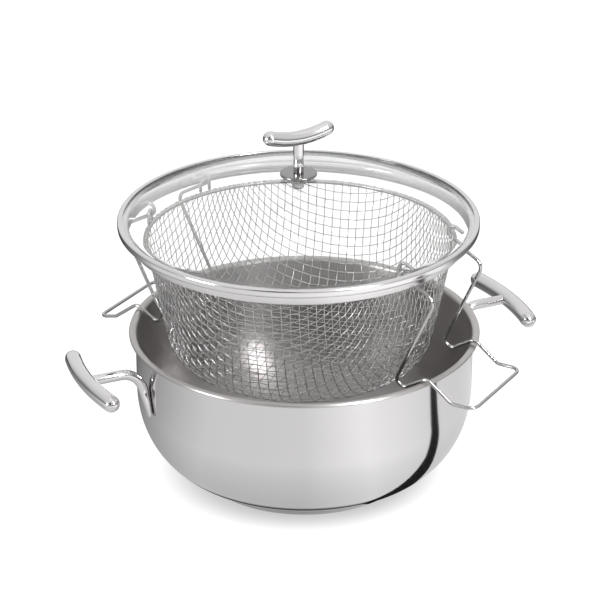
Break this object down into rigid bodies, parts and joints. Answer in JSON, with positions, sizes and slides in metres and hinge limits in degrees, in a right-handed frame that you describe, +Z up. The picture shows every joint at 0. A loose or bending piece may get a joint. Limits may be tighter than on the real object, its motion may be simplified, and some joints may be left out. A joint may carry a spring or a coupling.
{
  "type": "deep fryer pot",
  "caption": "Round steel deep fryer pot with bar handles, a wire-cloth draining basket hooked on the lip by swinging wire handles, and a domed glass lid with a bar knob.",
  "frame": {"origin": "middle of the flat underside of the pot's base", "axes": "+Z up along the pot's axis, +Y towards the back as seen in the picture, +X to the right"},
  "size_m": [0.3774, 0.2848, 0.2956],
  "materials": {
    "pot_steel": "polished outside, satin spun inside",
    "base_steel": "satin",
    "base_core": "plain",
    "handle_steel": "polished stainless",
    "basket_cloth": "drawn wire, bright",
    "basket_wire": "bright wire",
    "loop_wire": "bright wire",
    "lid_steel": "rolled stainless, satin bright",
    "lid_glass": "clear toughened glass",
    "knob_steel": "polished stainless",
    "rosette_steel": "satin",
    "seal": "translucent silicone",
    "screw_steel": "plain"
  },
  "bodies": {
    "pot": {"pot_body": "pot_steel", "base_cap": "base_steel", "base_core": "base_core", "right_handle_stem": "handle_steel", "left_handle_stem": "handle_steel", "right_handle_grip": "handle_steel", "left_handle_grip": "handle_steel"},
    "basket": {"basket_mesh": "basket_cloth", "basket_rim_wire": "basket_wire", "basket_eye_right_back": "basket_wire", "basket_eye_right_front": "basket_wire", "basket_eye_left_back": "basket_wire", "basket_eye_left_front": "basket_wire"},
    "right_basket_handle": {"basket_handle_right": "loop_wire"},
    "left_basket_handle": {"basket_handle_left": "loop_wire"},
    "lid": {"lid_rim": "lid_steel", "lid_glass": "lid_glass", "knob_bar": "knob_steel", "knob_post": "knob_steel", "knob_rosette": "rosette_steel", "knob_seal_upper": "seal", "knob_seal_lower": "seal", "knob_washer": "screw_steel", "knob_screw": "screw_steel"}
  },
  "joints": [
    {"name": "basket_lift", "type": "slide", "parent": "pot", "child": "basket", "axis": [0, 0, 1], "range_m": [0, 0.2]},
    {"name": "right_handle_swing", "type": "hinge", "parent": "basket", "child": "right_basket_handle", "pos_m": [0.095, -0.05779, 0.2135], "axis": [0.506, 0.8625, 0], "range_deg": [0, 2.6]},
    {"name": "left_handle_swing", "type": "hinge", "parent": "basket", "child": "left_basket_handle", "pos_m": [-0.102, 0.05779, 0.2135], "axis": [-0.506, -0.8625, 0], "range_deg": [0, 2.6]},
    {"name": "lid_lift", "type": "slide", "parent": "basket", "child": "lid", "axis": [0, 0, 1], "range_m": [0, 0.15]}
  ],
  "couplings": [
    {"joint": "right_handle_swing", "follows": "basket_lift", "rad_per_m": 0.2},
    {"joint": "left_handle_swing", "follows": "basket_lift", "rad_per_m": 0.2}
  ]
}
